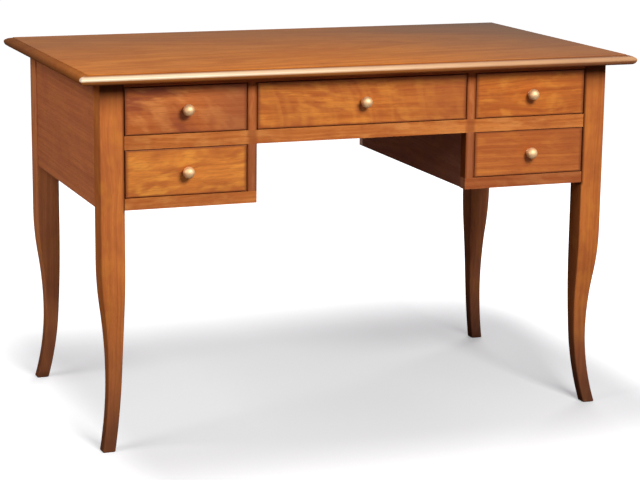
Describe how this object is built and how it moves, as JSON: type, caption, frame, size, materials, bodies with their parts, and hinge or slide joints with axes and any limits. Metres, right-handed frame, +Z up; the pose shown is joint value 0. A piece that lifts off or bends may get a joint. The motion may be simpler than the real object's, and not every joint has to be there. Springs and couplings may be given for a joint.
{
  "type": "kneehole desk",
  "caption": "Cherry writing desk with a moulded overhanging top, curved sabre legs, a kneehole between drawer pedestals and knobbed inset drawers that slide out.",
  "frame": {"origin": "on the floor, under the middle of the top", "axes": "+X to the sitter's right along the desk, -Y towards the sitter (drawer fronts face -Y), +Z up"},
  "size_m": [1.22, 0.7, 0.78],
  "materials": {
    "cherry_top": "satin lacquered cherry, grain along the length",
    "cherry_leg": "satin lacquered cherry, grain down the leg",
    "cherry_panel": "satin lacquered cherry",
    "cherry_rail": "satin lacquered cherry, grain along the rail",
    "cherry_drawer_front": "satin lacquered figured cherry, grain across the drawer",
    "beech": "sanded and oiled beech",
    "plywood": "birch plywood",
    "knob_brass": "satin brushed pale brass",
    "screw_steel": "zinc plated steel"
  },
  "bodies": {
    "carcase": {"top_panel": "cherry_top", "leg_front_left": "cherry_leg", "leg_front_right": "cherry_leg", "leg_back_left": "cherry_leg", "leg_back_right": "cherry_leg", "side_panel_left": "cherry_panel", "side_panel_right": "cherry_panel", "kneehole_panel_left": "cherry_panel", "kneehole_panel_right": "cherry_panel", "lower_back_left": "cherry_panel", "lower_back_right": "cherry_panel", "pedestal_floor_left": "plywood", "pedestal_floor_right": "plywood", "bottom_rail_left": "cherry_rail", "bottom_rail_right": "cherry_rail", "upper_stile_left": "cherry_rail", "upper_stile_right": "cherry_rail", "lower_stile_left": "cherry_rail", "lower_stile_right": "cherry_rail", "back_apron": "cherry_panel", "top_rail": "cherry_rail", "middle_rail": "cherry_rail", "drawer_runners": "beech", "drawer_guides": "beech", "top_blocks": "beech"},
    "left_upper_drawer": {"left_upper_drawer_front": "cherry_drawer_front", "left_upper_drawer_side_left": "beech", "left_upper_drawer_side_right": "beech", "left_upper_drawer_back": "beech", "left_upper_drawer_bottom": "plywood", "left_upper_drawer_knob": "knob_brass", "left_upper_drawer_knob_screw": "screw_steel"},
    "left_lower_drawer": {"left_lower_drawer_front": "cherry_drawer_front", "left_lower_drawer_side_left": "beech", "left_lower_drawer_side_right": "beech", "left_lower_drawer_back": "beech", "left_lower_drawer_bottom": "plywood", "left_lower_drawer_knob": "knob_brass", "left_lower_drawer_knob_screw": "screw_steel"},
    "right_upper_drawer": {"right_upper_drawer_front": "cherry_drawer_front", "right_upper_drawer_side_left": "beech", "right_upper_drawer_side_right": "beech", "right_upper_drawer_back": "beech", "right_upper_drawer_bottom": "plywood", "right_upper_drawer_knob": "knob_brass", "right_upper_drawer_knob_screw": "screw_steel"},
    "right_lower_drawer": {"right_lower_drawer_front": "cherry_drawer_front", "right_lower_drawer_side_left": "beech", "right_lower_drawer_side_right": "beech", "right_lower_drawer_back": "beech", "right_lower_drawer_bottom": "plywood", "right_lower_drawer_knob": "knob_brass", "right_lower_drawer_knob_screw": "screw_steel"},
    "centre_drawer": {"centre_drawer_front": "cherry_drawer_front", "centre_drawer_side_left": "beech", "centre_drawer_side_right": "beech", "centre_drawer_back": "beech", "centre_drawer_bottom": "plywood", "centre_drawer_knob": "knob_brass", "centre_drawer_knob_screw": "screw_steel"}
  },
  "joints": [
    {"name": "left_upper_drawer_slide", "type": "slide", "parent": "carcase", "child": "left_upper_drawer", "axis": [0, -1, 0], "range_m": [0, 0.36]},
    {"name": "left_lower_drawer_slide", "type": "slide", "parent": "carcase", "child": "left_lower_drawer", "axis": [0, -1, 0], "range_m": [0, 0.36]},
    {"name": "right_upper_drawer_slide", "type": "slide", "parent": "carcase", "child": "right_upper_drawer", "axis": [0, -1, 0], "range_m": [0, 0.36]},
    {"name": "right_lower_drawer_slide", "type": "slide", "parent": "carcase", "child": "right_lower_drawer", "axis": [0, -1, 0], "range_m": [0, 0.36]},
    {"name": "centre_drawer_slide", "type": "slide", "parent": "carcase", "child": "centre_drawer", "axis": [0, -1, 0], "range_m": [0, 0.36]}
  ]
}
